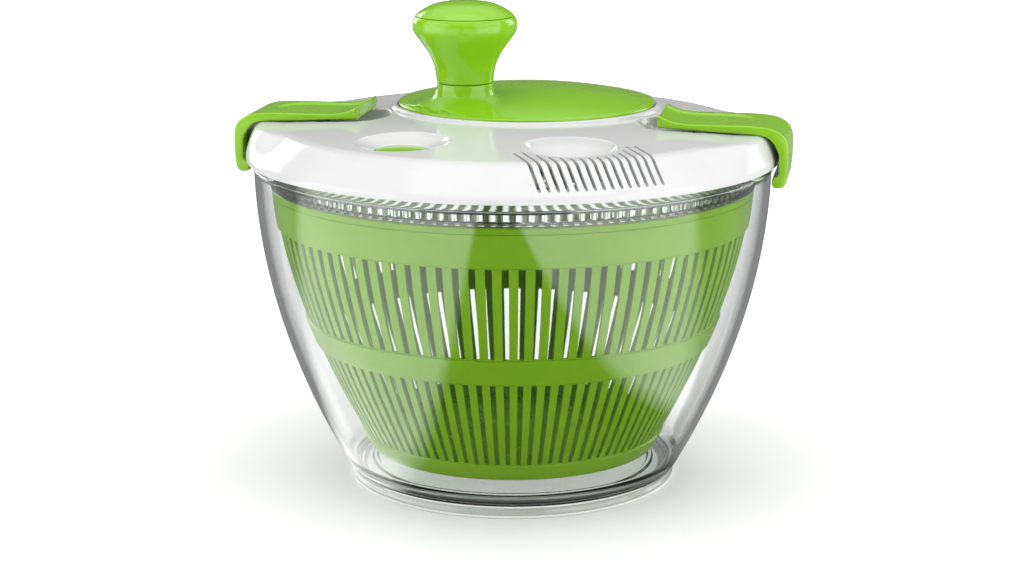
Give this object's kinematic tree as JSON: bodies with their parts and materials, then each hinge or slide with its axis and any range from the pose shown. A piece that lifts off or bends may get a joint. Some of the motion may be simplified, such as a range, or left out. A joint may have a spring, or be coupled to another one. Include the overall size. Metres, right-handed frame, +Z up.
{
  "type": "salad spinner",
  "caption": "Hand-cranked salad spinner: clear bowl, slotted basket, domed locking lid with crank disc and knob, brake button, funnel and drain slots.",
  "frame": {"origin": "centre of the foot ring's underside, on the bowl's axis, on the surface that the spinner stands on", "axes": "+Z up along the bowl's axis, +X through the right-hand latch, -Y towards the user and the brake button"},
  "size_m": [0.2708, 0.26, 0.2344],
  "materials": {
    "clear_plastic": "clear polished moulding",
    "soft_grey_rubber": "matte",
    "acetal": "smooth",
    "basket_green": "smooth, slightly see-through",
    "green_plastic": "gloss",
    "white_plastic": "gloss",
    "steel": "zinc plated"
  },
  "bodies": {
    "bowl": {"bowl": "clear_plastic", "foot_ring": "soft_grey_rubber"},
    "basket": {"basket": "basket_green", "pivot_cup": "acetal"},
    "lid": {"lid": "white_plastic", "latch_pin_right": "steel", "latch_pin_left": "steel", "brake_spring": "steel"},
    "crank": {"crank_disc": "green_plastic", "ring_gear": "acetal", "crank_washer": "steel", "crank_screw": "steel", "knob_washer": "steel", "knob_screw": "steel"},
    "knob": {"knob_grip": "green_plastic", "knob_cap": "green_plastic"},
    "drive": {"pinion": "acetal", "drive_coupler": "acetal", "coupler_screw": "steel", "basket_cover": "clear_plastic"},
    "brake": {"brake_button": "green_plastic", "brake_pad": "soft_grey_rubber"},
    "latch_right": {"latch_right": "green_plastic"},
    "latch_left": {"latch_left": "green_plastic"}
  },
  "joints": [
    {"name": "lid_lift", "type": "slide", "parent": "bowl", "child": "lid", "axis": [0, 0, 1], "range_m": [0, 0.09]},
    {"name": "basket_spin", "type": "hinge", "parent": "bowl", "child": "basket", "pos_m": [0, 0, 0.015], "axis": [0, 0, 1], "continuous": true},
    {"name": "crank_spin", "type": "hinge", "parent": "lid", "child": "crank", "pos_m": [0, 0.04, 0.18], "axis": [0, 0, 1], "continuous": true},
    {"name": "knob_spin", "type": "hinge", "parent": "crank", "child": "knob", "pos_m": [-0.02558, 0.00951, 0.21], "axis": [0, 0, 1], "continuous": true},
    {"name": "drive_spin", "type": "hinge", "parent": "lid", "child": "drive", "pos_m": [0, 0, 0.165], "axis": [0, 0, 1], "continuous": true},
    {"name": "brake_press", "type": "slide", "parent": "lid", "child": "brake", "axis": [0, 0, -1], "range_m": [0, 0.003], "stiffness_N_per_m": 600, "springref_m": -0.0008, "deforming": ["brake_spring"]},
    {"name": "latch_right_open", "type": "hinge", "parent": "lid", "child": "latch_right", "pos_m": [0.0895, 0, 0.176], "axis": [0, -1, 0], "range_deg": [0, 12]},
    {"name": "latch_left_open", "type": "hinge", "parent": "lid", "child": "latch_left", "pos_m": [-0.0895, 0, 0.176], "axis": [0, 1, 0], "range_deg": [0, 12]}
  ],
  "couplings": [
    {"joint": "drive_spin", "follows": "crank_spin", "ratio": 3.5},
    {"joint": "basket_spin", "follows": "crank_spin", "ratio": 3.5}
  ]
}
